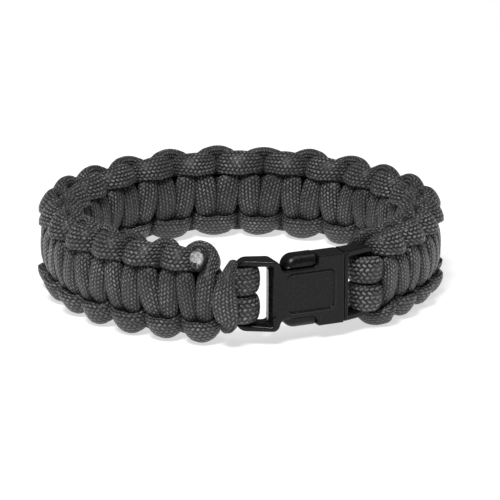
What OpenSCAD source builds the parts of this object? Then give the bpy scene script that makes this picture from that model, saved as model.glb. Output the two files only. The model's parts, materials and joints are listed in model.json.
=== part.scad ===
// A square-knot cord bracelet, closed by a side-release buckle, lying on its edge.
// The ring's axis is +Z, the buckle faces -Y, and the origin is the ring's centre on the ground.

/* [Band] */
// Height of the woven band, from edge to edge
band_w = 19.2; // [18:0.2:21]
// Thickness of the woven band
band_t = 9; // [8.6:0.2:10]
// Radius of the ring, to the middle of the band
ring_r = 38.6; // [36:0.2:44]
// Straight stretch of band at each end, next to the buckle
tail = 12.6; // [11:0.2:14]
// Distance between the two ends of the band's middle line
end_gap = 24.4; // [24:0.1:25]

/* [Knots] */
// Length of band that one half knot takes up, on average
knot_pitch = 4.65; // [4.5:0.05:5]
// How far the knots at the back are drawn apart
knot_ease = 5.5; // [0:0.5:6]
// How far the knots at the back have slipped towards the socket
knot_slip = 1.2; // [0:0.2:2]
// How far the knots lean along the band, over its height
knot_lean = 1.1; // [0:0.1:1.6]
// From the end of the middle line to the first bar, at the plug
first_bar = 8.5; // [8:0.1:9]
// From the end of the middle line to the last bar, at the socket
last_bar = 1.8; // [1.6:0.1:2.4]

/* [Cord] */
// Width of the cord where it is drawn flat
cord_w = 4.9; // [4.4:0.1:5.2]
// Thickness of the cord where it is drawn flat
cord_t = 2.8; // [2.5:0.1:3]
// Thickness of a core cord
core_t = 2; // [1.8:0.1:2.1]
// Width of a core cord
core_w = 3.3; // [3:0.1:3.5]
// Distance between the middles of the two core cords
core_gap = 3.8; // [3.7:0.1:4.2]
// Room left between two cords that touch
cord_room = 0.34; // [0.3:0.02:0.44]
// Thickness of the core cord where it is looped round a bar
loop_t = 2.5; // [2.3:0.1:2.6]
// Width across the melted cord end
tip_w = 2.6; // [2:0.1:2.8]

/* [Buckle] */
// Length of the socket's body
body_l = 14.9; // [14.6:0.1:15.6]
// Height of the body and of the two frames
buckle_w = 14.8; // [14.4:0.1:15.4]
// Thickness of the socket's body
body_t = 5.6; // [5.4:0.1:6]
// Thickness of the two frames that hold the cord
frame_t = 3.4; // [3.2:0.1:4]
// Length of the socket's frame, from the body to its far side
socket_frame_l = 7.4; // [7.2:0.1:8]
// Length of the plug's frame, from the body to its far side
plug_frame_l = 7.7; // [7.4:0.1:8.2]
// How far the socket's frame is bent back from its body
socket_bend = 19.5; // [17:0.5:21]
// How far the plug's frame is bent back from the body
plug_bend = 11; // [8:0.5:13]
// Diameter of the bar that the cord is looped round, in each frame
bar_d = 2; // [1.8:0.1:2.2]
// Width of a frame's side rails
rail_w = 1.5; // [1.4:0.1:1.7]
// Height of the neck, between the press tabs
neck_w = 10; // [9.8:0.1:10.6]
// Wall of the socket
wall = 1.2; // [1.05:0.05:1.3]
// Length of the blank panel on the socket's face
panel_l = 10.6; // [8:0.2:11]
// Height of the blank panel
panel_w = 8.1; // [6.5:0.2:8.9]
// Depth of the blank panel
panel_deep = 0.3; // [0.1:0.05:0.5]
// Clearance between two moulded or looped pieces
play = 0.15; // [0.1:0.05:0.2]
// Shift of the body's middle towards the plug's side, from the ring's centre
buckle_shift = 2.1; // [1.9:0.1:2.3]
// Shift of the buckle upwards, from the band's middle
buckle_lift = 0.2; // [0:0.1:0.4]
// Turn of the body away from the opening's chord, the plug's side inwards
buckle_turn = 7.5; // [6:0.5:9]

/* [Hidden] */

// Plan of the band: an arc with a straight tail at each end, and the buckle across the opening
open_angle = atan(tail / ring_r) + asin(end_gap / 2 / norm([ring_r, tail]));
arc_angle = 360 - 2 * open_angle;
arc_l = ring_r * arc_angle * PI / 180;
path_l = arc_l + 2 * tail;
buckle_y = -(ring_r * cos(open_angle) + tail * sin(open_angle));
buckle_z = band_w / 2 + buckle_lift;

// Bars are the stretches of cord that cross the band's outer face, counted from the plug
woven_l = path_l - first_bar - last_bar;
bars = 2 * round((woven_l / knot_pitch + 1) / 2);
last = bars - 1;
pitch = woven_l / last;

function clamp(x, low, high) = max(low, min(high, x));
function turn(k) = 360 * clamp(k / last, 0, 1);
function along(k) = first_bar + pitch * k - knot_ease * sin(turn(k)) + knot_slip * (1 - cos(turn(k)));
function heading(s) = open_angle - 90 + clamp((s - tail) / arc_l, 0, 1) * arc_angle;
function overrun(s) = s < tail ? s - tail : max(0, s - tail - arc_l);

// Place on the ring of a point at length s, height v above the middle and w outwards
function band_point(s, v, w) =
    let (a = heading(s), t = overrun(s), r = ring_r + w)
    [r * cos(a) - t * sin(a), r * sin(a) + t * cos(a), band_w / 2 + v];

// Carries a point of the straight band, as [along, up, out], to its place on the ring
function on_ring(p) = band_point(along(p[0] / pitch) - knot_lean * p[1] / band_w, p[1], p[2]);

// Half a knot of the front strand, from the middle of a bar to the middle of the bump beside it.
// Along the band in half knots, up in half heights, out in half thicknesses, the turn of the
// section's own upper side, the section's width and thickness as shares of the cord's, and the
// turn of its flat side.
KNOT = [
    //  along,   up,   out, side, wide, thick, flat
    [   0.00, 0.00,  0.67,   0, 1.12, 1.00,   0],
    [  -0.14, 0.43,  0.50,  25, 1.02, 1.00,  10],
    [  -0.20, 0.55,  0.29,  52, 0.92, 0.95,  45],
    [  -0.24, 0.62,  0.02,  80, 0.90, 0.90,  80],
    [  -0.06, 0.74, -0.47,  90, 1.00, 1.00,  70],
    [   0.50, 0.74, -0.66,  90, 1.10, 0.98,  60]
];
// How the front strand comes from the plug's bar, before its first bar
FRONT_START = [
    [  -0.35, 0.28, -0.78,  90, 0.85, 0.85,  90],
    [  -0.42, 0.60, -0.82,  90, 0.85, 0.85,  80],
    [  -0.12, 0.80, -0.60,  90, 0.80, 0.85,  70]
];
// How it ends: the last bar is drawn wide and its tip is tucked in behind the socket's frame
FRONT_END = [
    [  -1.00, -0.62, -0.52,  90, 0.90, 1.00, -70],
    [  -0.50, -0.64, -0.64,  90, 0.90, 0.96, -60],
    [  -0.28, -0.62, -0.44,  90, 0.80, 0.80, -75],
    [  -0.18, -0.62,  0.12,  80, 0.75, 0.75, -65],
    [   0.08, -0.54,  0.74,  25, 1.00, 0.95, -10],
    [   0.12,  0.00,  1.00,   0, 1.22, 0.85,   0],
    [   0.26,  0.42,  0.88,  20, 0.85, 0.85,   0],
    [   0.32,  0.62,  0.58,  60, 0.45, 0.70,   0],
    [   0.10,  0.72,  0.10,  80, 0.40, 0.60,   0]
];
// How the back strand comes from the plug's bar, under the rail, to its first bump
BACK_START = [
    [  -0.30, 0.28,  0.82,  90, 0.75, 0.75,  90],
    [  -0.40, 0.66,  0.88,  90, 0.75, 0.80,  60],
    [  -0.52, 0.91,  0.24,  90, 0.75, 0.75,  60],
    [  -0.48, 0.88, -0.36,  90, 0.80, 0.85,  55],
    [  -0.10, 0.80, -0.64,  90, 0.95, 0.95,  60]
];
// How it ends: it comes out through the front strand's last upper bump and is cut
BACK_END = [
    [  -0.26, 0.74,  0.52,  90, 0.85, 0.95,  50],
    [  -0.26, 0.84,  0.96,  90, 0.80, 0.95,  20]
];
half = len(KNOT) - 1;
rows = 2 * half;
sides = 8;
corner = 1 / cos(180 / sides);

// The sections from one bar to the next: after the bump's middle the first ones come back mirrored.
// Each is a row of the table above, turned into lengths in the straight band.
function edge_of(k) = k % 2 == 0 ? -1 : 1;
function placed(k, q, edge) =
    [[pitch * (k + q[0]), edge * q[1] * band_w / 2, q[2] * band_t / 2],
     edge, q[3], q[4] * cord_w / 2, q[5] * cord_t / 2, q[6]];
function mirrored(q) = [1 - q[0], q[1], q[2], q[3], q[4], q[5], q[6]];
function knot(k) = [for (r = [0 : rows - 1]) placed(k, r <= half ? KNOT[r] : mirrored(KNOT[rows - r]), edge_of(k))];

front_rows = concat(
    [for (q = FRONT_START) placed(0, q, 1)],
    [for (r = [half - 2 : -1 : 1]) placed(-1, mirrored(KNOT[r]), 1)],
    [for (k = [0 : last - 2]) each knot(k)],
    [for (r = [0 : 3]) placed(last - 1, KNOT[r], -1)],
    [for (q = FRONT_END) placed(last, q, 1)]);
back_rows = concat(
    [for (q = BACK_START) placed(0, q, 1)],
    [for (r = [half - 1 : -1 : 1]) placed(-1, mirrored(KNOT[r]), 1)],
    [for (k = [0 : last - 2]) each knot(k)],
    [for (r = [0 : 3]) placed(last - 1, KNOT[r], -1)],
    [for (q = BACK_END) placed(last - 1, [q[0], q[1], -q[2], q[3], q[4], q[5], q[6]], -1)]);
function flip(p) = [p[0], -p[1], -p[2]];

// Section that the cord would have by itself, as a radius for each direction round it
function free_radius(a, wide, thick, flat) =
    corner / norm([cos(a - flat) / thick, sin(a - flat) / wide]);

// How far a section may reach from c in direction d before it meets the cords that pass at the points near it
function clear_radius(c, d, near, share) =
    min([for (q = near) let (v = q - c, f = d * v) f > 0.05 ? share * (v * v) / f : 99]);

function between(a, b) = [a, (2 * a + b) / 3, (a + 2 * b) / 3];
function dense(table) = [for (i = [0 : len(table) - 2]) each between(table[i][0], table[i + 1][0])];

// How far the core stands out of the band's middle: it rises at both ends, to go round the bars
function core_out(s) = 1.9 * clamp((9 - s) / 4, 0, 1) + 1.7 * clamp((s - path_l + 6) / 5, 0, 1);

// Rings of a strand in the straight band, each squeezed where it meets the other strand, itself and the core
function strand_rings(table, other, face) =
    let (own_line = dense(table), other_line = dense(other), n = len(table), reach = 1.7 * pitch, skip = 8)
    [for (i = [0 : n - 1])
        let (
            q = table[i], c = q[0], edge = q[1],
            step = table[min(i + 1, n - 1)][0] - table[max(i - 1, 0)][0], t = step / norm(step),
            up = [0, edge * sin(q[2]), cos(q[2])], m = up - (up * t) * t, n1 = m / norm(m), n2 = cross(t, n1),
            own = [for (j = [0 : len(own_line) - 1])
                if (abs(j - 3 * i) > skip && abs(own_line[j][0] - c[0]) < reach) own_line[j]],
            crossing = [for (p = other_line) if (abs(p[0] - c[0]) < reach) flip(p)],
            core = [for (x = [-0.8 : 0.2 : 0.8], e = [-3 : 3])
                let (out = core_out(along(c[0] / pitch + x)))
                if (abs(e) < 2 || out > 0.5 * (abs(e) - 1)) [c[0] + x * pitch, e * core_gap / 2, face * out]]
        )
        [for (j = [0 : sides - 1])
            let (a = 360 * (j + 0.5) / sides, d = cos(a) * n1 + sin(a) * n2)
            c + d * min(free_radius(a, q[3], q[4], -edge * q[5]),
                clear_radius(c, d, concat(own, crossing), 0.5) - cord_room / 2,
                clear_radius(c, d, core, 0.55) - cord_room / 2)]];

// Skins a list of rings and closes both ends
module skin(rings) {
    n = len(rings[0]);
    top = (len(rings) - 1) * n;
    faces = concat(
        [[for (j = [0 : n - 1]) j]],
        [for (i = [0 : len(rings) - 2], j = [0 : n - 1], h = [0, 1])
            let (a = i * n + j, b = i * n + (j + 1) % n) h == 0 ? [a, a + n, b] : [b, a + n, b + n]],
        [[for (j = [n - 1 : -1 : 0]) top + j]]);
    polyhedron([for (ring = rings) each ring], faces);
}

// The buckle's own drawing plane: x along the body from its middle, y upwards and z outwards
module in_buckle() {
    translate([buckle_shift, buckle_y, buckle_z]) rotate([0, 0, buckle_turn]) rotate([90, 0, 0]) children();
}
function buckle_point(u, w) =
    [buckle_shift + u * cos(buckle_turn) + w * sin(buckle_turn), buckle_y + u * sin(buckle_turn) - w * cos(buckle_turn)];

mouth_x = body_l / 2;
socket_bar = let (r = socket_frame_l - bar_d / 2)
    buckle_point(-mouth_x - r * cos(socket_bend), -r * sin(socket_bend));
plug_x = mouth_x + play;
plug_bar = let (r = plug_frame_l - bar_d / 2) buckle_point(plug_x + r * cos(plug_bend), -r * sin(plug_bend));
slot_h = buckle_w - 2 * rail_w;

// The core cord's middle line, from the inner side of the plug's bar round both bars. The third
// value tells how full the cord is there: 1 on a bar, 0 inside the band.
loop_r = bar_d / 2 + play + loop_t / 2;
function loop_point(bar, a) = [bar[0] + loop_r * cos(a), bar[1] + loop_r * sin(a), 1];
function core_point(s, w, full) = let (p = band_point(s, 0, w)) [p[0], p[1], full];
core_line = concat(
    [for (i = [0 : 6]) loop_point(plug_bar, 115 + 30 * i)],
    [core_point(6.5, 1.5, 0.5), core_point(8.2, 0.3, 0)],
    [for (k = [1 : 24]) core_point(k * path_l / 25, 0.1, 0)],
    [core_point(path_l - 4.6, 0.3, 0.1), core_point(path_l - 2.4, 1.3, 0.5)],
    [for (i = [0 : 6]) loop_point(socket_bar, -115 + 30 * i)]);

// Rings of the upper (1) or lower (-1) core cord: its width stands upright, its thickness across the line
function core_rings(e) =
    [for (i = [0 : len(core_line) - 1])
        let (
            ahead = core_line[min(i + 1, len(core_line) - 1)], behind = core_line[max(i - 1, 0)],
            step = [ahead[0] - behind[0], ahead[1] - behind[1]], across = [step[1], -step[0]] / norm(step),
            c = core_line[i], full = c[2], thick = core_t + full * (loop_t - core_t),
            gap = core_gap + full * (slot_h / 2 - core_gap), wide = core_w + full * (slot_h / 2 - cord_room - core_w)
        )
        [for (j = [0 : sides - 1])
            let (a = -360 * (j + 0.5) / sides, r = corner * thick / 2 * cos(a))
            [c[0] + across[0] * r, c[1] + across[1] * r,
             band_w / 2 + full * buckle_lift + (e * gap + corner * wide * sin(a)) / 2]]];

// A plate from x0 to x1, with its far corners or all its corners rounded
module rounded(x0, x1, high, r, ends) {
    near = ends == 2 ? r : 0;
    translate([x0 + near, -high / 2]) square([x1 - x0 - r - near, high]);
    translate([x0, r - high / 2]) square([x1 - x0, high - 2 * r]);
    for (x = ends == 2 ? [x0 + r, x1 - r] : [x1 - r], e = [-1, 1])
        translate([x, e * (high / 2 - r)]) circle(r, $fn = 32);
}

module slab(x0, x1, high, r, thick, ends = 2) {
    linear_extrude(thick, center = true) rounded(x0, x1, high, r, ends);
}

flange = 1.4;
shoulder = 2.2;
fillet = 1;
edge_r = 0.6;
bridge = 0.9;
window_x = 1;
window_slope = 1.4;
tab_gap = 1.7;
chamfer = [1.2, 1.6];
big = 20;

// A frame that starts at x = 0: two rails, and the bar that the core cord is looped round
module cord_frame(start, length, slot_x, ends) {
    difference() {
        slab(start, length, buckle_w, shoulder, frame_t, ends);
        slab(slot_x, length + big, slot_h, fillet, big);
    }
    translate([length - bar_d / 2, 0, 0]) rotate([90, 0, 0])
        cylinder(h = buckle_w - rail_w, d = bar_d, center = true, $fn = 32);
}

module body_outline() {
    rounded(-body_l, flange - mouth_x, buckle_w, shoulder, 1);
    translate([-mouth_x + edge_r, -neck_w / 2]) square([body_l - edge_r, neck_w]);
    for (e = [-1, 1]) {
        polygon([[window_x, e * neck_w / 2], [window_x + window_slope, e * buckle_w / 2],
            [mouth_x, e * buckle_w / 2], [mouth_x, 0], [window_x, 0]]);
        translate([flange - mouth_x, e * neck_w / 2]) difference() {
            translate([-edge_r, min(0, e * fillet)]) square([fillet + edge_r, fillet]);
            translate([fillet, e * fillet]) circle(fillet, $fn = 32);
        }
    }
}

// Section of the body across its length: the edges that face the wrist are cut back
module body_section() {
    high = buckle_w / 2;
    deep = body_t / 2;
    polygon([[-high, deep], [high, deep], [high, chamfer[1] - deep], [high - chamfer[0], -deep],
        [chamfer[0] - high, -deep], [-high, chamfer[1] - deep]]);
}

module buckle_socket() {
    color("#1c1c1e") in_buckle() {
        difference() {
            intersection() {
                linear_extrude(body_t, center = true) body_outline();
                rotate([90, 0, 90]) linear_extrude(body_l, center = true) body_section();
            }
            slab(flange + wall - mouth_x, mouth_x + big, buckle_w - 2 * wall, edge_r, body_t - 2 * wall);
            translate([0, 0, body_t / 2]) slab(-panel_l / 2, panel_l / 2, panel_w, 1, 2 * panel_deep);
        }
        translate([-mouth_x, 0, 0]) rotate([0, 180 - socket_bend, 0])
            cord_frame(-flange, socket_frame_l, 0, ends = 2);
    }
}

module buckle_plug() {
    blade_t = body_t - 2 * wall - 2 * play;
    arm_t = 1.5;
    tab_x = flange + tab_gap - mouth_x;
    tab_h = (buckle_w - neck_w) / 2 - play;
    color("#1c1c1e") in_buckle() {
        slab(plug_x, plug_x + bridge, buckle_w, bridge / 3, body_t - 1);
        translate([plug_x, 0, 0]) rotate([0, plug_bend, 0]) cord_frame(bridge / 2, plug_frame_l, bridge, ends = 1);
        slab(flange + 2 * wall - mouth_x, plug_x + edge_r, 2.4, edge_r, blade_t);
        for (e = [-1, 1]) {
            translate([0, e * (neck_w - arm_t) / 2, 0])
                slab(tab_x, plug_x + edge_r, arm_t, edge_r, blade_t);
            translate([0, e * (neck_w / 2 + tab_h / 2 - play), 0])
                slab(tab_x, window_x - 0.4, tab_h + edge_r, edge_r, blade_t);
            translate([0, e * (neck_w / 2 + play + (tab_h - play) / 2), 0])
                slab(tab_x, window_x - 0.4, tab_h - play, 0.45 * (tab_h - play), body_t - wall);
        }
    }
}

tip_from = on_ring(flip(back_rows[len(back_rows) - 2][0]));
tip_at = on_ring(flip(back_rows[len(back_rows) - 1][0]));
tip_way = (tip_at - tip_from) / norm(tip_at - tip_from);

module melted_end() {
    tip_h = 0.7;
    color("#c8c8c8") translate(tip_at + tip_way * cord_room / 2)
        rotate([0, acos(tip_way[2]), atan2(tip_way[1], tip_way[0])])
            intersection() {
                cylinder(h = tip_h, d = tip_w, $fn = 32);
                translate([0, 0, tip_h - tip_w]) sphere(r = tip_w, $fn = 48);
            }
}

module core_cord() {
    color("#303032")
    for (e = [-1, 1]) skin(core_rings(e));
}

module front_strand() {
    rings = strand_rings(front_rows, back_rows, 1);
    color("#3a3a3c") skin([for (ring = rings) [for (p = ring) on_ring(p)]]);
}

module back_strand() {
    rings = strand_rings(back_rows, front_rows, -1);
    color("#333335") skin([for (ring = rings) [for (p = ring) on_ring(flip(p))]]);
}

buckle_socket();
buckle_plug();
core_cord();
front_strand();
back_strand();
melted_end();
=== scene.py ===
import bpy
import math
import numpy as np
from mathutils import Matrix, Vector, noise
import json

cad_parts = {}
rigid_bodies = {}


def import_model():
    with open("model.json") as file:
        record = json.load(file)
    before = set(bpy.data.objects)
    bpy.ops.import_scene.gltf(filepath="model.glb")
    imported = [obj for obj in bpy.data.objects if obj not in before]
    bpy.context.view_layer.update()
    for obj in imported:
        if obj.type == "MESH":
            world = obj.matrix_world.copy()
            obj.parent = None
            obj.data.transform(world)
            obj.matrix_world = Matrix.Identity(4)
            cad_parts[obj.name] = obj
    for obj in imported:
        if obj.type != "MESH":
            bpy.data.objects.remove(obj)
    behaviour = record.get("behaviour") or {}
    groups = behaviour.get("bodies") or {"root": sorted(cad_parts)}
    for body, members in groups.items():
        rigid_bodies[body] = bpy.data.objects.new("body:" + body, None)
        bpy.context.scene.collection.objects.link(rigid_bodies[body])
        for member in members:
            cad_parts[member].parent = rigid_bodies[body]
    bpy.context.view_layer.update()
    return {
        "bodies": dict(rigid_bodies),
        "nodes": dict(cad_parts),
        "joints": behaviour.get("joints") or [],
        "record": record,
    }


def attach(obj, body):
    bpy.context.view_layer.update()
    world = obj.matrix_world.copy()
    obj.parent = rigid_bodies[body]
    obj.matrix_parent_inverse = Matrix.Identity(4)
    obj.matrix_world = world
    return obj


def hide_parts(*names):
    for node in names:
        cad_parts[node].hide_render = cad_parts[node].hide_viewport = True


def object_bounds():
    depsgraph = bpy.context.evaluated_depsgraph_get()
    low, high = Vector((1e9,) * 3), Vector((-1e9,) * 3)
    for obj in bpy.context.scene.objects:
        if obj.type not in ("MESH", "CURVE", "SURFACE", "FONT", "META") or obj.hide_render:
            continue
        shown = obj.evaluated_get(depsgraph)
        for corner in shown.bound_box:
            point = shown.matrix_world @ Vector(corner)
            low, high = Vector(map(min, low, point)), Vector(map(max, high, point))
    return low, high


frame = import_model()

# Buckle socket
#
# The female half of a small contoured side-release buckle: one moulding in black plastic, with a
# flat body, a blank panel on its face, an open window on each edge for a press tab, and a frame
# bent back from its end, whose round bar carries the core cord.

MM = 0.001
GRAIN, FRAME_GRAIN, FINE_GRAIN = 0.11, 0.13, 0.09    # how finely a moulding is cast
FAR = 9                                              # where every cutter ends, clear of the buckle
BUCKLE_PLACE = (2.1, -38.7283, 9.8)
BUCKLE_TURN = 7.5
BODY_END = 7.45
BODY_THICK = 5.6
BUCKLE_HIGH = 14.8
NECK_HIGH = 10.0
WALL = 1.2
FLANGE, FLANGE_STEP = 0.75, 0.5
SHOULDER, NECK_ROUND, WEB_REACH = 2.2, 1.5, 1.43
CHEEK_BEVEL = 1.3
WINDOW_END, WINDOW_FILLET = 1.65, 1.5
TAB_FRONT = 2.0
RAIL, BAR = 1.5, 2.0
SLOT_ROUND = 1.0
CHAMFER_DEEP, CHAMFER_TOP, CHAMFER_BAR, CHAMFER_RAIL = 0.3, 2.7, 2.2, 1.1
FRAME_THICK, FRAME_ROOT, FRAME_INSIDE = 3.4, 1.6, 2.0
SOCKET_FRAME, SOCKET_SLOT, SOCKET_BEND = 7.4, 0.8, 19.5
PANEL = (10.6, 8.1, 0.18)
PANEL_ROUND = 1.3
BEAD_OUT, BEAD_IN, BEAD_HIGH = 0.15, 0.2, 0.13
THINNED = 0.45
PLASTIC_DARK = (0.0016, 0.0016, 0.0017, 1)
PLASTIC_LIT = (0.016, 0.016, 0.0168, 1)


def deselect():
    if bpy.context.object and bpy.context.object.mode != "OBJECT":
        bpy.ops.object.mode_set(mode="OBJECT")
    bpy.ops.object.select_all(action="DESELECT")


def make_active(piece):
    deselect()
    piece.select_set(True)
    bpy.context.view_layer.objects.active = piece


def settle(piece):
    make_active(piece)
    bpy.ops.object.transform_apply(location=True, rotation=True, scale=True)


def block(name, low, high):
    """A cuboid between two corners. The buckle is drawn in millimetres and scaled once it is whole."""
    deselect()
    middle = [(a + b) / 2 for a, b in zip(low, high)]
    size = [b - a for a, b in zip(low, high)]
    bpy.ops.mesh.primitive_cube_add(size=1, location=middle, scale=size)
    piece = bpy.context.object
    piece.name = name
    settle(piece)
    return piece


def rod(name, place, radius, length, turn=(0, 0, 0)):
    deselect()
    bpy.ops.mesh.primitive_cylinder_add(vertices=64, radius=radius, depth=length,
                                        location=place, rotation=turn)
    piece = bpy.context.object
    piece.name = name
    settle(piece)
    return piece


def in_edit(piece, mode, chosen):
    """Opens a piece in edit mode with the corners or edges that the test picks selected."""
    make_active(piece)
    bpy.context.tool_settings.mesh_select_mode = (mode == "VERT", mode == "EDGE", False)
    mesh = piece.data
    for item in list(mesh.polygons) + list(mesh.edges) + list(mesh.vertices):
        item.select = False
    place = [v.co.copy() for v in mesh.vertices]
    if mode == "VERT":
        for v in mesh.vertices:
            v.select = chosen(place[v.index])
    else:
        for e in mesh.edges:
            e.select = chosen(place[e.vertices[0]], place[e.vertices[1]])
    bpy.ops.object.mode_set(mode="EDIT")


def shift(piece, test, move):
    """Moves the corners that the test picks."""
    in_edit(piece, "VERT", test)
    bpy.ops.transform.translate(value=move)
    bpy.ops.object.mode_set(mode="OBJECT")


def round_edges(piece, test, radius, steps):
    in_edit(piece, "EDGE", test)
    bpy.ops.mesh.bevel(offset=radius, segments=steps, affect="EDGES")
    bpy.ops.object.mode_set(mode="OBJECT")


def round_upright(piece, test, radius, steps=8):
    """Rounds the edges that stand across the buckle's face where the test holds."""
    round_edges(piece, lambda a, b: abs(a.x - b.x) < 1e-3 and abs(a.y - b.y) < 1e-3 and test(a),
                radius, steps)


def cut(piece, other):
    make_active(piece)
    step = piece.modifiers.new("cut", "BOOLEAN")
    step.operation = "DIFFERENCE"
    step.solver = "EXACT"
    step.object = other
    bpy.ops.object.modifier_apply(modifier=step.name)
    bpy.data.objects.remove(other)
    return piece


def mould(pieces, grain, rounds):
    """Casts overlapping pieces as one moulding, with all its edges and inner corners softened."""
    deselect()
    for piece in pieces:
        piece.select_set(True)
    bpy.context.view_layer.objects.active = pieces[0]
    if len(pieces) > 1:
        bpy.ops.object.join()
    body = pieces[0]
    for kind, values in (("REMESH", {"mode": "VOXEL", "voxel_size": grain}),
                         ("SMOOTH", {"factor": 0.5, "iterations": rounds})):
        step = body.modifiers.new(kind, kind)
        for key, value in values.items():
            setattr(step, key, value)
        bpy.ops.object.modifier_apply(modifier=step.name)
    return body


def cord_frame(start, length, slot_start, root, bend, hinge, towards):
    """Two rails and a round bar, thicker at the hinge line, drawn straight and then bent back."""
    high, deep = BUCKLE_HIGH / 2, FRAME_THICK / 2
    plate = block("frame", (start, -high, -deep), (length, high, deep))
    shift(plate, lambda p: p.x < start + 0.1 and p.z > 0, (0, 0, root))
    round_upright(plate, lambda p: p.x > length - 0.1, SHOULDER)
    slot = block("slot", (slot_start, -high + RAIL, -FAR), (length + FAR, high - RAIL, FAR))
    round_upright(slot, lambda p: p.x < slot_start + 0.1, SLOT_ROUND)
    cut(plate, slot)
    chamfer = block("slot chamfer", (slot_start, -high + RAIL, deep - CHAMFER_DEEP),
                    (length + FAR, high - RAIL, deep + CHAMFER_TOP))
    shift(chamfer, lambda p: p.z > deep and p.x < slot_start + 0.1, (-CHAMFER_BAR, 0, 0))
    for side in (-1, 1):
        shift(chamfer, lambda p: p.z > deep and p.y * side > 0, (0, side * CHAMFER_RAIL, 0))
    cut(plate, chamfer)
    bar = rod("bar", (length - BAR / 2, 0, 0), BAR / 2, BUCKLE_HIGH - RAIL, (math.pi / 2, 0, 0))
    frame = mould([plate, bar], FRAME_GRAIN, 10)
    frame.rotation_euler = (0, math.radians(bend), 0 if towards > 0 else math.pi)
    frame.location = (hinge, 0, 0)
    settle(frame)
    return frame


def onto_band(piece):
    """Stands the finished moulding up in the opening of the band, lean and all."""
    make_active(piece)
    thin = piece.modifiers.new("thin", "DECIMATE")
    thin.ratio = THINNED
    bpy.ops.object.modifier_apply(modifier=thin.name)
    piece.rotation_euler = (math.radians(90), 0, math.radians(BUCKLE_TURN))
    piece.location = Vector(BUCKLE_PLACE) * MM
    piece.scale = (MM, MM, MM)
    settle(piece)
    bpy.ops.object.shade_smooth()


class Wire:
    """A shader socket that takes part in Python expressions."""

    def __init__(self, tree, socket):
        self.tree, self.socket = tree, socket

    def node(self, kind, inputs=(), out=0, **settings):
        made = self.tree.nodes.new(kind)
        for key, value in settings.items():
            setattr(made, key, value)
        for place, value in dict(inputs).items():
            if isinstance(value, Wire):
                self.tree.links.new(value.socket, made.inputs[place])
            else:
                made.inputs[place].default_value = value
        return Wire(self.tree, made.outputs[out])

    def math(self, operation, *values):
        return self.node("ShaderNodeMath", dict(enumerate(values)), operation=operation)

    def __add__(self, other): return self.math("ADD", self, other)
    def __radd__(self, other): return self.math("ADD", other, self)
    def __sub__(self, other): return self.math("SUBTRACT", self, other)
    def __rsub__(self, other): return self.math("SUBTRACT", other, self)
    def __mul__(self, other): return self.math("MULTIPLY", self, other)
    def __rmul__(self, other): return self.math("MULTIPLY", other, self)

    def mix(self, low, high):
        return self.node("ShaderNodeMix", {0: self, 6: low, 7: high}, out=2, data_type="RGBA")

    def band(self, low, high):
        return self.node("ShaderNodeMapRange", {0: self, 1: low, 2: high}, interpolation_type="SMOOTHSTEP")


def new_material(name):
    made = bpy.data.materials.new(name)
    made.use_nodes = True
    return made, made.node_tree.nodes["Principled BSDF"], Wire(made.node_tree, None)


def feed(shader, **links):
    for name, wire in links.items():
        wire.tree.links.new(wire.socket, shader.inputs[name.replace("_", " ")])


def satin_plastic(name, dark, lit, rough):
    """Black moulded plastic: a spark-eroded grain, slight cloudiness and a soft sheen."""
    made, shader, wire = new_material(name)
    place = wire.node("ShaderNodeTexCoord", out=3)
    grain = wire.node("ShaderNodeTexNoise", {"Vector": place, "Scale": 3000.0, "Detail": 2.0})
    cloud = wire.node("ShaderNodeTexNoise", {"Vector": place, "Scale": 240.0, "Detail": 3.0})
    specks = grain.band(0.54, 0.70)
    feed(shader, Base_Color=(cloud * 0.1 + specks * 0.8).mix(dark, lit),
         Roughness=rough + (cloud - 0.5) * 0.10 + (grain - 0.5) * 0.20,
         Normal=wire.node("ShaderNodeBump", {"Strength": 0.6, "Distance": 0.00005, "Height": grain}))
    shader.inputs["Specular IOR Level"].default_value = 0.23
    return made


def fillet(name, corner, reach, side, radius, back):
    """The quarter-round web in an inner corner of the outline."""
    x, y = corner
    left, right = sorted((x + reach, x - math.copysign(1, reach)))
    low, high = sorted((y - side * 0.6, y + side * 0.8 * radius))
    web = block(name, (left, low, back), (right, high, BODY_THICK / 2))
    return cut(web, rod("scoop", (x + reach, y + side * radius, 0), radius, 20))


def socket_body():
    high, deep, end, neck = BUCKLE_HIGH / 2, BODY_THICK / 2, BODY_END, NECK_HIGH / 2
    foot = FLANGE - end
    parts = [block("neck", (-end, -neck, -deep), (end, neck, deep))]
    flange = block("flange", (-end - 5, -high, -deep + FLANGE_STEP), (foot, high, deep))
    round_upright(flange, lambda p: p.x > foot - 0.1, NECK_ROUND)
    parts.append(cut(flange, block("flange end", (-end - FAR, -FAR, -FAR), (-end, FAR, FAR))))
    for side in (-1, 1):
        cheek = block("cheek", (WINDOW_END, min(0, side * high), -deep), (end, max(0, side * high), deep))
        round_edges(cheek, lambda a, b: max(a.z, b.z) < 0 and min(a.y * side, b.y * side) > high - 0.1,
                    CHEEK_BEVEL, 3)
        web = fillet("web", (foot, side * neck), WEB_REACH, side, NECK_ROUND, FLANGE_STEP - deep)
        lip = fillet("lip", (WINDOW_END, side * neck), -WINDOW_FILLET, side, WINDOW_FILLET, TAB_FRONT + 0.1)
        parts += [cheek, web, lip]
    for piece in parts:
        cut(piece, block("hollow", (foot + WALL, -high + WALL, -deep + WALL),
                         (end + FAR, high - WALL, deep - WALL)))
    return parts


def panel_block(inset, low, high):
    """The panel's rounded outline, from a depth under the face to a height over it."""
    deep = BODY_THICK / 2
    panel = block("panel", (inset - PANEL[0] / 2, inset - PANEL[1] / 2, deep - low),
                  (PANEL[0] / 2 - inset, PANEL[1] / 2 - inset, deep + high))
    round_upright(panel, lambda p: True, PANEL_ROUND - inset)
    return panel


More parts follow.
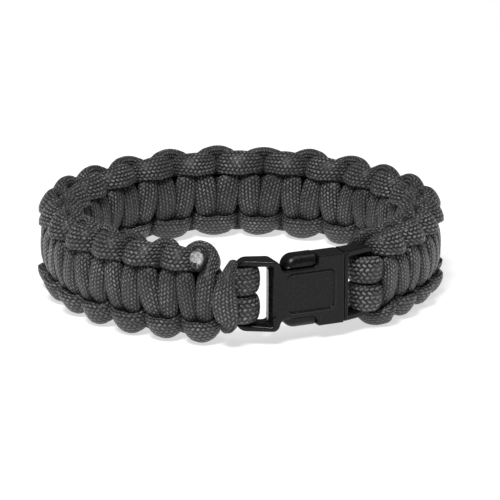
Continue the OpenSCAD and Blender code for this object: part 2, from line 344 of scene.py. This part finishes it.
socket_parts = socket_body()
socket_frame = cord_frame(-FRAME_INSIDE, SOCKET_FRAME, SOCKET_SLOT, FRAME_ROOT, SOCKET_BEND, -BODY_END, -1)
cut(socket_frame, block("face", (-BODY_END - 1, -FAR, BODY_THICK / 2), (0, FAR, FAR)))
cut(socket_frame, block("inside", (FLANGE - BODY_END, -FAR, -FAR), (0, FAR, FAR)))
for side in (-1, 1):
    turn_x, turn_y = FLANGE - BODY_END - NECK_ROUND, BUCKLE_HIGH / 2 - NECK_ROUND
    low, high = sorted((side * turn_y, side * FAR))
    corner = block("corner", (turn_x, low, -FAR), (0, high, FAR))
    cut(socket_frame, cut(corner, rod("arc", (turn_x, side * turn_y, 0), NECK_ROUND, 30)))
socket = mould(socket_parts + [socket_frame], GRAIN, 20)
in_edit(socket, "VERT", lambda p: -8.4 < p.x < -5.4 and abs(p.y) < 4.4 and p.z > 2)
bpy.ops.mesh.vertices_smooth(factor=0.5, repeat=120)
bpy.ops.object.mode_set(mode="OBJECT")
cut(socket, panel_block(0, PANEL[2], 3))
bead = cut(panel_block(-BEAD_OUT, 0.5, BEAD_HIGH), panel_block(BEAD_IN, 3, 3))
socket = mould([socket, bead], FINE_GRAIN, 2)
socket.name = "buckle_socket_moulding"
onto_band(socket)
socket.data.materials.clear()
socket.data.materials.append(satin_plastic("socket plastic", PLASTIC_DARK, PLASTIC_LIT, 0.30))
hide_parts("buckle_socket")
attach(socket, "root")

# Buckle plug
#
# The male half, in the same plastic: a thin crossbar that closes the socket's mouth, a bent frame
# with its bar, a guide tongue and two arms inside the socket, and the two press tabs on their ends,
# domed and rounded, which fill the windows.

PLUG_START, BRIDGE, BRIDGE_ROUND = 7.6, 0.9, 0.6
BRIDGE_BACK, BRIDGE_FRONT = -2.3, 2.55
PLUG_FRAME, PLUG_ROOT, PLUG_BEND = 7.7, 0.6, 11.0
BLADE, ARM_END, ARM_IN_BRIDGE = 1.45, -4.4, 0.5
TONGUE_END, TONGUE_HALF = -3.6, 1.2
TAB_START, TAB_END, TAB_IN, TAB_OUT, TAB_BACK = -5.2, 1.55, 5.1, 7.6, -1.6
TAB_CORNER, TAB_DOME = 2.4, 1.8
PLUG_GRAIN = 0.10

plug_frame = cord_frame(BRIDGE / 2, PLUG_FRAME, BRIDGE, PLUG_ROOT, PLUG_BEND, PLUG_START, 1)
crossbar = block("crossbar", (PLUG_START, -BUCKLE_HIGH / 2, BRIDGE_BACK),
                 (PLUG_START + BRIDGE, BUCKLE_HIGH / 2, BRIDGE_FRONT))
round_edges(crossbar, lambda a, b: abs(a.x - b.x) > 0.1, BRIDGE_ROUND, 5)
rooted = PLUG_START + ARM_IN_BRIDGE
inner = [crossbar, block("tongue", (TONGUE_END, -TONGUE_HALF, -BLADE), (rooted, TONGUE_HALF, BLADE))]
tabs = []
for side in (-1, 1):
    for name, middle, half, end, back, front in (("arm", 4.25, 0.75, rooted, -BLADE, BLADE),
                                                 ("tab root", 5.45, 1.1, TAB_END - 1, -BLADE, BLADE),
                                                 ("tab back", 5.8, 0.8, TAB_END - 1, -2.2, -1)):
        inner.append(block(name, (ARM_END, side * middle - half, back), (end, side * middle + half, front)))
    low, high = sorted((side * TAB_IN, side * TAB_OUT))
    tab = block("tab", (TAB_START, low, TAB_BACK), (TAB_END + 0.4, high, TAB_FRONT))
    round_upright(tab, lambda p: p.x < TAB_START + 0.1 and p.y * side > 7, TAB_CORNER, 12)
    round_edges(tab, lambda a, b: (min(a.z, b.z) > TAB_FRONT - 0.01
                                   and min(a.y * side, b.y * side) > TAB_IN + 0.02), TAB_DOME, 10)
    tabs.append(tab)
domed_tabs = mould(tabs, GRAIN, 25)
cut(domed_tabs, block("beyond", (TAB_END, -FAR, -FAR), (FAR, FAR, FAR)))
plug = mould([mould(inner, PLUG_GRAIN, 20), domed_tabs, plug_frame], PLUG_GRAIN, 3)
plug.name = "buckle_plug_moulding"
onto_band(plug)
plug.data.materials.clear()
plug.data.materials.append(satin_plastic("plug plastic", PLASTIC_DARK, PLASTIC_LIT, 0.36))
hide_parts("buckle_plug")
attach(plug, "root")

# Core cord
#
# The middle of one length of braided utility cord, looped round both bars and run twice through
# the band. Charcoal braid over soft inner yarns: on the bars it spreads wide and flat, inside the
# knots it is squeezed narrow.

BAND_W, BAND_T = 19.2, 9.0
RING_R, TAIL, END_GAP = 38.6, 12.6, 24.4
FIRST_BAR, LAST_BAR, BARS = 8.5, 1.8, 46
KNOT_EASE, KNOT_SLIP, KNOT_LEAN = 5.5, 1.2, 1.1
CORE_T, CORE_W, CORE_GAP = 2.1, 3.3, 3.8
LOOP_T, SLOT_HIGH, SLOT_ROOM = 3.0, 11.8, 0.25
LOOP_STEP, LOOP_POINTS = 18, 11
PLUG_RISE, SOCKET_RISE = -0.3, 0.4
CORE_SIDES = 20
SQUARENESS = 0.8
WEAVE_STEP = 0.80
YARNS = 16
CROWN_SLANT = 0.5
SIDE_FALL, END_FALL = 4.2, 4.4
FIBRES = 17.0
# Painted shade: this darkest colour fills the gaps between the yarn crowns.
CORD_PAINTED_GAP_SHADE = (0.0035, 0.0035, 0.0037, 1)
CORD_MID = (0.0255, 0.0255, 0.0265, 1)
# Painted highlight: this pale colour is laid on the tops of the yarn crowns as glinting flecks.
CORD_PAINTED_GLINT = (0.265, 0.265, 0.276, 1)

open_angle = math.degrees(math.atan(TAIL / RING_R)
                          + math.asin(END_GAP / 2 / math.hypot(RING_R, TAIL)))
arc_len = RING_R * math.radians(360 - 2 * open_angle)
path_len = arc_len + 2 * TAIL
pitch = (path_len - FIRST_BAR - LAST_BAR) / (BARS - 1)


def band_point(s, v, w):
    """Place on the ring of points at length s, height v above the middle and w outwards."""
    a = np.radians(open_angle - 90 + np.clip((s - TAIL) / arc_len, 0, 1) * (360 - 2 * open_angle))
    t = np.minimum(s - TAIL, 0) + np.maximum(s - TAIL - arc_len, 0)
    r = RING_R + w
    return np.stack([r * np.cos(a) - t * np.sin(a), r * np.sin(a) + t * np.cos(a), BAND_W / 2 + v], -1)


def along(k):
    """The length at which bar k crosses: knots are pushed together and eased apart by hand."""
    turn = 2 * np.pi * np.clip(k / (BARS - 1), 0, 1)
    return FIRST_BAR + pitch * k - KNOT_EASE * np.sin(turn) + KNOT_SLIP * (1 - np.cos(turn))


def on_ring(p):
    """Bends points of the straight band, each row of knots leaning a little, onto the ring."""
    p = np.asarray(p)
    return band_point(along(p[..., 0] / pitch) - KNOT_LEAN * p[..., 1] / BAND_W, p[..., 1], p[..., 2])


def smooth_rows(rows, step):
    """Runs a smooth curve through rows of numbers, the first three of them a place, and samples it."""
    rows = np.asarray(rows, float)
    gap = np.linalg.norm(np.diff(rows[:, :3], axis=0), axis=1)
    rate = np.diff(rows, axis=0) / gap[:, None]
    slope = np.empty_like(rows)
    slope[0], slope[-1] = rate[0], rate[-1]
    slope[1:-1] = (rate[:-1] * gap[1:, None] + rate[1:] * gap[:-1, None]) / (gap[:-1] + gap[1:])[:, None]
    out = []
    for i, g in enumerate(gap):
        for t in np.arange(max(2, round(g / step))) / max(2, round(g / step)):
            out.append((1 + 2 * t) * (1 - t) ** 2 * rows[i] + t * (1 - t) ** 2 * g * slope[i]
                       + t * t * (3 - 2 * t) * rows[i + 1] + t * t * (t - 1) * g * slope[i + 1])
    return np.array(out + [rows[-1]])


def lengths_along(points):
    """How far along a line each of its points lies."""
    return np.concatenate([[0], np.cumsum(np.linalg.norm(np.diff(points, axis=0), axis=1))])


END_CAP = ((0.8, 0.6), (0.45, 0.9))     # how wide each of the last rings is, and how far on


def cord_mesh(name, rings, length):
    """Skins rings of points into a closed tube with the weave's own map on it."""
    middle = rings.mean(axis=1)
    start = [middle[0] + (rings[0] - middle[0]) * wide - (middle[1] - middle[0]) * on
             for wide, on in reversed(END_CAP)]
    end = [middle[-1] + (rings[-1] - middle[-1]) * wide + (middle[-1] - middle[-2]) * on
           for wide, on in END_CAP]
    rings = np.concatenate([np.stack(start), rings, np.stack(end)])
    length = np.concatenate([[length[0] - 0.2, length[0] - 0.1], length,
                             [length[-1] + 0.1, length[-1] + 0.2]])
    count, sides = rings.shape[:2]
    verts = rings.reshape(-1, 3) * MM
    i, j = np.meshgrid(np.arange(count - 1), np.arange(sides), indexing="ij")
    k = (j + 1) % sides
    quads = np.stack([i * sides + j, i * sides + k, (i + 1) * sides + k, (i + 1) * sides + j], -1)
    faces = quads.reshape(-1, 4).tolist()
    faces += [list(range(sides))[::-1], list(range((count - 1) * sides, count * sides))]
    mesh = bpy.data.meshes.new(name)
    mesh.from_pydata(verts.tolist(), [], faces)
    edge = np.linalg.norm(np.roll(rings, -1, axis=1) - rings, axis=2)
    around = np.concatenate([np.zeros((count, 1)), np.cumsum(edge, axis=1)], axis=1)
    around = around / around[:, -1:] * YARNS
    up = np.repeat((length / WEAVE_STEP)[:, None], sides + 1, axis=1)
    weave = np.stack([around, up], -1)
    uv = np.stack([weave[i, j], weave[i, j + 1], weave[i + 1, j + 1], weave[i + 1, j]], 2)
    flat = np.concatenate([uv.reshape(-1, 2), np.full((2 * sides, 2), 0.25)])
    layer = mesh.uv_layers.new(name="weave")
    layer.data.foreach_set("uv", flat.astype(np.float32).ravel())
    piece = bpy.data.objects.new(name, mesh)
    bpy.context.collection.objects.link(piece)
    make_active(piece)
    bpy.ops.object.mode_set(mode="EDIT")
    bpy.ops.mesh.select_all(action="SELECT")
    bpy.ops.mesh.normals_make_consistent(inside=False)
    bpy.ops.object.mode_set(mode="OBJECT")
    bpy.ops.object.shade_smooth()
    return piece


def braided_sheath(name, dark, mid, painted_glint_colour):
    """A braided sheath: columns of crowns slanting one way and the other, painted highlights on them,
    painted shade between.
    """
    made, shader, wire = new_material(name)
    weave = wire.node("ShaderNodeUVMap", uv_map="weave")
    axes = wire.node("ShaderNodeSeparateXYZ", {0: weave})
    u, v = axes, Wire(axes.tree, axes.socket.node.outputs[1])
    column = u.math("FLOOR", u)
    across = u - column - 0.5
    odd = column.math("PINGPONG", column, 1.0)
    lean = across * (odd * 2.0 - 1.0)
    run = v + lean * CROWN_SLANT + odd * 0.5
    crown_row = run.math("FLOOR", run)
    ahead = run - crown_row - 0.5
    round_off = 1.0 - (across * across) * SIDE_FALL - (ahead * ahead) * END_FALL
    dome = round_off.math("MAXIMUM", round_off, 0.0)
    crown = dome.math("POWER", dome, 0.6)
    cell = wire.node("ShaderNodeCombineXYZ", {0: column, 1: crown_row})
    chance = wire.node("ShaderNodeTexWhiteNoise", {"Vector": cell}, noise_dimensions="2D")
    place = wire.node("ShaderNodeTexCoord", out=3)
    painted_glint_patches = wire.node("ShaderNodeTexNoise", {"Vector": place, "Scale": 130.0, "Detail": 3.0})
    fibre = (across * 2.2 + ahead * (odd * 2.0 - 1.0) * 1.6) * FIBRES
    strandlet = fibre.math("SINE", fibre) * 0.5 + 0.5
    # Painted shade: the gaps between crowns darken towards the darkest colour.
    gap_shaded_yarn = dome.band(0.05, 0.60).mix(dark, mid)
    # Painted highlight: pale flecks on the crown tops, brighter on some crowns and in noisy patches.
    painted_glint_mask = dome.band(0.35, 1.0) * (chance * 0.8 + 0.2) * (painted_glint_patches.band(0.30, 0.72) * 0.7 + 0.3)
    colour = painted_glint_mask.mix(gap_shaded_yarn, painted_glint_colour)
    height = crown + strandlet * crown * 0.08
    feed(shader, Base_Color=colour, Roughness=0.44 - crown * 0.14,
         Normal=wire.node("ShaderNodeBump", {"Strength": 1.0, "Distance": 0.0003, "Height": height}))
    shader.inputs["Sheen Weight"].default_value = 0.08
    shader.inputs["Sheen Roughness"].default_value = 0.45
    return made


def buckle_point(x, out):
    turn = math.radians(BUCKLE_TURN)
    return (BUCKLE_PLACE[0] + x * math.cos(turn) + out * math.sin(turn),
            BUCKLE_PLACE[1] + x * math.sin(turn) - out * math.cos(turn))


def bar_place(hinge, length, bend, towards):
    reach, bend = length - BAR / 2, math.radians(bend)
    return buckle_point(hinge + towards * reach * math.cos(bend), -reach * math.sin(bend))


socket_bar = bar_place(-BODY_END, SOCKET_FRAME, SOCKET_BEND, -1)
plug_bar = bar_place(PLUG_START, PLUG_FRAME, PLUG_BEND, 1)
loop_r = BAR / 2 + 0.1 + LOOP_T / 2


def loop(bar, start):
    """Points round a bar, where the cord spreads to its full width."""
    turns = [math.radians(start + LOOP_STEP * i) for i in range(LOOP_POINTS)]
    return [(bar[0] + loop_r * math.cos(a), bar[1] + loop_r * math.sin(a), 1.0) for a in turns]


def inside(s, w, full):
    """A point in the band at length s, w outwards, and how full the cord is there."""
    return (*band_point(np.array(s), 0, w)[:2], full)


def core_route():
    """The core's middle line seen from above, and how full the cord is at each point."""
    return (loop(plug_bar, 115)
            + [inside(6.5, 1.5, 0.6), inside(8.2, 0.3, 0)]
            + [inside(k * path_len / 50, 0, 0) for k in range(3, 48)]
            + [inside(path_len - 4.6, 0.3, 0.1), inside(path_len - 2.4, 1.3, 0.6)]
            + loop(socket_bar, -115))


def core_piece(name, side):
    route = smooth_rows([(x, y, 0, full) for x, y, full in core_route()], 0.7)
    step = np.gradient(route[:, :2], axis=0)
    across = np.stack([step[:, 1], -step[:, 0]], -1) / np.linalg.norm(step, axis=1)[:, None]
    full = np.clip(route[:, 3], 0, 1)
    thick = CORE_T + full * (LOOP_T - CORE_T)
    wide = CORE_W + full * (SLOT_HIGH / 2 - SLOT_ROOM - CORE_W)
    gap = CORE_GAP + full * (SLOT_HIGH / 2 - CORE_GAP)
    a = -2 * np.pi * np.arange(CORE_SIDES) / CORE_SIDES
    round_c = np.sign(np.cos(a)) * np.abs(np.cos(a)) ** SQUARENESS
    round_s = np.sign(np.sin(a)) * np.abs(np.sin(a)) ** SQUARENESS
    reach = thick[:, None] / 2 * round_c
    rise = full * np.where(np.arange(len(full)) < len(full) / 2, PLUG_RISE, SOCKET_RISE)
    rings = np.stack([route[:, :1] + across[:, :1] * reach, route[:, 1:2] + across[:, 1:] * reach,
                      BAND_W / 2 + rise[:, None] + (side * gap[:, None] + wide[:, None] * round_s) / 2], -1)
    return cord_mesh(name, rings, lengths_along(route[:, :2]))


core_sheath = braided_sheath("core sheath", CORD_PAINTED_GAP_SHADE, CORD_MID, CORD_PAINTED_GLINT)
for name, side in (("core_cord_upper", 1), ("core_cord_lower", -1)):
    core = core_piece(name, side)
    core.data.materials.append(core_sheath)
    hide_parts("core_cord")
    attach(core, "root")

# Knotting strands
#
# The two free ends of the same cord, worked round the core in square knots. Each crosses its own
# face of the band as a bar, turns over the edge through the other strand's loop, and comes back as
# the next bar, so two pairs of bumps run along the edges. Pulled tight, they press each other flat.

CORD_W, CORD_T = 4.9, 2.8
#  along, up, out, side, wide, thick, flat
KNOT = [
    (0.00, 0.00, 0.68, 0, 1.16, 1.08, 0),
    (-0.16, 0.43, 0.50, 25, 1.02, 1.04, 10),
    (-0.22, 0.55, 0.29, 52, 0.94, 0.98, 45),
    (-0.26, 0.62, 0.02, 80, 0.96, 0.96, 80),
    (-0.06, 0.71, -0.48, 90, 1.14, 1.04, 66),
    (0.50, 0.75, -0.68, 90, 1.27, 1.10, 60)]
FRONT_START = [
    (-0.35, 0.28, -0.78, 90, 0.85, 0.85, 90),
    (-0.42, 0.60, -0.82, 90, 0.85, 0.85, 80),
    (-0.12, 0.80, -0.60, 90, 0.80, 0.85, 70)]
FRONT_END = [
    (-1.00, -0.62, -0.52, 90, 0.90, 1.00, -70),
    (-0.50, -0.64, -0.64, 90, 0.90, 0.96, -60),
    (-0.28, -0.62, -0.44, 90, 0.80, 0.80, -75),
    (-0.12, -0.58, 0.14, 80, 0.80, 0.75, -65),
    (0.15, -0.46, 0.78, 25, 1.05, 0.95, -10),
    (0.12, 0.00, 1.00, 0, 1.30, 0.90, 0),
    (0.25, 0.42, 0.88, 20, 0.76, 0.90, 0),
    (0.35, 0.62, 0.60, 60, 0.50, 0.75, 0),
    (0.38, 0.72, 0.15, 80, 0.42, 0.60, 0)]
BACK_START = [
    (-0.30, 0.28, 0.82, 90, 0.75, 0.75, 90),
    (-0.40, 0.66, 0.88, 90, 0.75, 0.80, 60),
    (-0.52, 0.91, 0.24, 90, 0.75, 0.75, 60),
    (-0.48, 0.88, -0.36, 90, 0.80, 0.85, 55),
    (-0.10, 0.80, -0.64, 90, 0.95, 0.95, 60)]
BACK_END = [
    (-0.24, 0.76, -0.52, 90, 0.90, 0.95, 60),
    (-0.20, 0.88, -0.98, 90, 0.94, 1.12, 80)]
last, half = BARS - 1, len(KNOT) - 1
STRAND_SIDES = 22
STRAND_STEP, NEIGHBOUR_STEP = 0.50, 1.1
ROOM = 0.03                             # left between two cords that touch
OWN_SKIP, NEARBY = 6.0, 1.7             # which stretches of cord count as neighbours
CORD_SHARE, CORE_SHARE = 0.52, 0.54     # of the way to the neighbour's middle that the cord fills
SECTION, BLEND = 2.3, 7                 # how square a section is, and how softly it is held back
TIGHTEST, SLIMMEST, FREE = 0.92, 0.25, 99.0


def placed(k, row, edge):
    """One section of a strand in the straight band: place, its outer side, half sizes and turn."""
    u, up, out, side, wide, thick, flat = row
    side = math.radians(side)
    return (pitch * (k + u), edge * up * BAND_W / 2, out * BAND_T / 2,
            0, edge * math.sin(side), math.cos(side),
            wide * CORD_W / 2, thick * CORD_T / 2, -edge * math.radians(flat))


def mirrored(row):
    """The same section on the way back from the turn."""
    return (1 - row[0], *row[1:])


def knots(first, end):
    rows = []
    for k in range(first, end):
        edge = -1 if k % 2 == 0 else 1
        rows += [placed(k, KNOT[r], edge) for r in range(half + 1)]
        rows += [placed(k, mirrored(KNOT[r]), edge) for r in range(half - 1, 0, -1)]
    return rows


front_rows = ([placed(0, row, 1) for row in FRONT_START]
              + [placed(-1, mirrored(KNOT[r]), 1) for r in range(half - 2, 0, -1)]
              + knots(0, last - 1) + [placed(last - 1, KNOT[r], -1) for r in range(4)]
              + [placed(last, row, 1) for row in FRONT_END])
back_rows = ([placed(0, row, 1) for row in BACK_START]
             + [placed(-1, mirrored(KNOT[r]), 1) for r in range(half - 1, 0, -1)]
             + knots(0, last - 1) + [placed(last - 1, KNOT[r], -1) for r in range(4)]
             + [placed(last - 1, row, -1) for row in BACK_END])


def core_out(s):
    """How far the core stands out of the band's middle near the two bars."""
    return 1.9 * np.clip((9 - s) / 4, 0, 1) + 1.7 * np.clip((s - path_len + 6) / 5, 0, 1)


FLIP = np.array([1.0, -1.0, -1.0])


def core_near(x, face):
    """Points along the core's runs close to a place in the straight band."""
    xs = x + np.arange(-0.8, 0.81, 0.2) * pitch
    rise = face * core_out(along(xs / pitch))
    runs = [np.stack([xs, np.full_like(xs, e * CORE_GAP / 2), rise], -1) for e in (-1, 1)]
    runs += [np.stack([xs, np.full_like(xs, e * CORE_GAP), rise], -1)[np.abs(rise) > 0.5] for e in (-1, 1)]
    return np.concatenate(runs)


def strand_rings(rows, other, face):
    """Rings of a strand in the straight band, each grown until it meets what lies next to it."""
    path = smooth_rows(rows, STRAND_STEP)
    centre = path[:, :3]
    cross_line = smooth_rows(other, NEIGHBOUR_STEP)[:, :3] * FLIP
    step = np.gradient(centre, axis=0)
    length = lengths_along(centre)
    tangent = step / np.linalg.norm(step, axis=1)[:, None]
    bend = np.gradient(tangent, axis=0) / np.linalg.norm(step, axis=1)[:, None]
    outer = path[:, 3:6] - (path[:, 3:6] * tangent).sum(1)[:, None] * tangent
    outer /= np.linalg.norm(outer, axis=1)[:, None]
    beside = np.cross(tangent, outer)
    angle = 2 * np.pi * np.arange(STRAND_SIDES) / STRAND_SIDES
    reach = np.empty((len(path), STRAND_SIDES))
    ways = (np.cos(angle)[None, :, None] * outer[:, None, :]
            + np.sin(angle)[None, :, None] * beside[:, None, :])
    for i, c in enumerate(centre):
        own = centre[(np.abs(length - length[i]) > OWN_SKIP)
                     & (np.abs(centre[:, 0] - c[0]) < NEARBY * pitch)]
        crossing = cross_line[np.abs(cross_line[:, 0] - c[0]) < NEARBY * pitch]
        cords = np.concatenate([own, crossing])
        wide, thick, flat = path[i, 6:9]
        free = (np.abs(np.cos(angle - flat) / thick) ** SECTION
                + np.abs(np.sin(angle - flat) / wide) ** SECTION) ** (-1 / SECTION)
        limit = np.full(STRAND_SIDES, FREE)
        for near, share in ((cords, CORD_SHARE), (core_near(c[0], face), CORE_SHARE)):
            v = near - c
            f = ways[i] @ v.T
            room = np.where(f > 0.05, share * (v * v).sum(1)[None, :] / np.maximum(f, 0.05), FREE)
            limit = np.minimum(limit, room.min(axis=1) - ROOM)
        turn_in = ways[i] @ bend[i]
        limit = np.minimum(limit, np.where(turn_in > 0.02, TIGHTEST / np.maximum(turn_in, 0.02), FREE))
        limit = np.maximum(limit, SLIMMEST)
        reach[i] = (free ** -BLEND + limit ** -BLEND) ** (-1 / BLEND)
    kernel = np.array([1, 3, 5, 3, 1]) / 13
    padded = np.pad(reach, ((2, 2), (0, 0)), mode="edge")
    reach = sum(kernel[j] * padded[j:j + len(reach)] for j in range(5))
    return centre[:, None, :] + ways * reach[:, :, None]


WANDER, WANDER_SCALE = 0.42, 0.11
WANDER_STARTS = (7.3, 1.9, 4.1), (31.7, 12.9, 52.3), (21.3, 44.9, 17.1)


def uneven(rings):
    """Hand-tied knots are never quite alike: a slow, small wander, the same for all that touch."""
    flat = rings.reshape(-1, 3)
    starts = [Vector(start) for start in WANDER_STARTS]
    shift = np.array([[noise.noise(Vector(p) * WANDER_SCALE + start) for start in starts] for p in flat])
    return (flat + shift * WANDER).reshape(rings.shape)


def knot_strand(name, rows, other, face):
    rings = strand_rings(rows, other, face)
    if face < 0:
        rings = rings * FLIP
    rings = on_ring(uneven(rings))
    return cord_mesh(name, rings, lengths_along(rings.mean(axis=1)))


for name, rows, other, face in (("front_strand_cord", front_rows, back_rows, 1),
                                ("back_strand_cord", back_rows, front_rows, -1)):
    strand = knot_strand(name, rows, other, face)
    sheath = braided_sheath(name.replace("_cord", " sheath"), CORD_PAINTED_GAP_SHADE, CORD_MID, CORD_PAINTED_GLINT)
    strand.data.materials.append(sheath)
    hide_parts(name.replace("_cord", ""))
    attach(strand, "root")
    "front_cord" if face > 0 else "back_cord"

# Melted tip
#
# The cut end of the cord, sealed with a flame: the pale inner yarns have run into a hard, slightly
# domed button, grey and speckled, with a scorched rim where the sheath has shrunk back round it.

TIP_PLACE = (last - 1 - 0.19, 0.89, 1.03)
TIP_SIZE = (1.50, 2.12, 0.85)
TIP_FLAT, TIP_ROUGH, TIP_SEED = 0.55, 0.03, 4
TIP_TILT = (-0.05, -0.1, 0.25)
TIP_HEART, TIP_RIM = 0.0005, (1.20, 1.75)
TIP_PALE = (0.46, 0.46, 0.47, 1)
TIP_GREY = (0.16, 0.16, 0.165, 1)
TIP_SCORCH = (0.010, 0.010, 0.010, 1)

tip_point = uneven(np.array(TIP_PLACE) * (pitch, BAND_W / 2, BAND_T / 2))
tip_centre = Vector(on_ring(tip_point)) * MM
outward = (Vector(on_ring(tip_point + (0, 0, 1))) * MM - tip_centre).normalized()
deselect()
bpy.ops.mesh.primitive_uv_sphere_add(segments=48, ring_count=24, radius=1)
tip = bpy.context.object
tip.name = "melted_cord_tip"
in_edit(tip, "VERT", lambda p: p.z > 0.3)
bpy.ops.transform.resize(value=(1, 1, TIP_FLAT), center_override=(0, 0, 0.3))
bpy.ops.transform.vertex_random(offset=TIP_ROUGH, uniform=0.0, normal=1.0, seed=TIP_SEED)
bpy.ops.object.mode_set(mode="OBJECT")
smooth = tip.modifiers.new("smooth", "SMOOTH")
smooth.factor, smooth.iterations = 0.5, 2
bpy.ops.object.modifier_apply(modifier=smooth.name)
tip.scale = [x * MM for x in TIP_SIZE]
settle(tip)
tip.rotation_euler = (outward + Vector(TIP_TILT)).to_track_quat("Z", "Y").to_euler()
tip.location = tip_centre
settle(tip)
bpy.ops.object.shade_smooth()

scorched, shader, wire = new_material("melted yarn")
place = wire.node("ShaderNodeTexCoord", out=3)
heart = tuple(tip_centre + outward * TIP_HEART)
away = wire.node("ShaderNodeVectorMath", {0: place, 1: heart}, out=1, operation="DISTANCE")
mottle = wire.node("ShaderNodeTexNoise", {"Vector": place, "Scale": 1500.0, "Detail": 4.0})
ragged = wire.node("ShaderNodeTexNoise", {"Vector": place, "Scale": 2600.0, "Detail": 2.0})
rim = (away * 1000.0 + (ragged - 0.5) * 0.7).band(*TIP_RIM)
feed(shader, Base_Color=rim.mix(mottle.band(0.38, 0.62).mix(TIP_GREY, TIP_PALE), TIP_SCORCH),
     Roughness=0.50 - rim * 0.15,
     Normal=wire.node("ShaderNodeBump", {"Strength": 0.7, "Distance": 0.00012, "Height": mottle}))
tip.data.materials.append(scorched)
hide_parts("melted_end")
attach(tip, "root")

# Stage
#
# A pale floor and soft light from above and the left, and a long lens that looks down a little on
# the buckle from its left.

AIM = Vector((0, 0, 9.6)) * MM
ELEVATION, HEADING, DISTANCE = 16.5, 16.5, 543.64
PHOTO_PX, FOCAL_PX, SHIFT_PX = 500, 2522.8, (9.311, -12.199)
FLOOR_SIZE, FLOOR_GREY, FLOOR_GLOW = 6, 0.50, 0.64
LAMPS = (("key", (-0.33, -0.52, 0.88), 0.30, 12.0),
         ("top", (0.34, -0.06, 0.94), 0.28, 1.6))
WORLD_LIGHT = 0.11
deselect()
bpy.ops.mesh.primitive_plane_add(size=FLOOR_SIZE, location=(0, 0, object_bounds()[0][2]))
floor = bpy.context.object
floor.name = "floor"
paint, shader, wire = new_material("pale floor")
shader.inputs["Base Color"].default_value = (FLOOR_GREY, FLOOR_GREY, FLOOR_GREY, 1)
shader.inputs["Roughness"].default_value = 0.9
shader.inputs["Emission Color"].default_value = (1, 1, 1, 1)
shader.inputs["Emission Strength"].default_value = FLOOR_GLOW
floor.data.materials.append(paint)

e, h = math.radians(ELEVATION), math.radians(HEADING)
view = Vector((-math.sin(h) * math.cos(e), -math.cos(h) * math.cos(e), math.sin(e)))
eye = bpy.data.cameras.new("photo view")
eye.lens = eye.sensor_width * FOCAL_PX / PHOTO_PX
eye.shift_x, eye.shift_y = SHIFT_PX[0] / PHOTO_PX, SHIFT_PX[1] / PHOTO_PX
eye.clip_start = 0.01
camera = bpy.data.objects.new("photo view", eye)
camera.location = AIM + view * DISTANCE * MM
camera.rotation_euler = (-view).to_track_quat("-Z", "Y").to_euler()
bpy.context.collection.objects.link(camera)
bpy.context.scene.camera = camera

for name, place, size, power in LAMPS:
    lamp = bpy.data.lights.new(name, "AREA")
    lamp.size, lamp.energy = size, power
    light = bpy.data.objects.new(name, lamp)
    light.location = place
    light.rotation_euler = (AIM - Vector(place)).to_track_quat("-Z", "Y").to_euler()
    bpy.context.collection.objects.link(light)
world = bpy.data.worlds.new("studio")
world.use_nodes = True
world.node_tree.nodes["Background"].inputs[0].default_value = (1, 1, 1, 1)
world.node_tree.nodes["Background"].inputs[1].default_value = WORLD_LIGHT
bpy.context.scene.world = world
bpy.context.scene.view_settings.view_transform = "Standard"
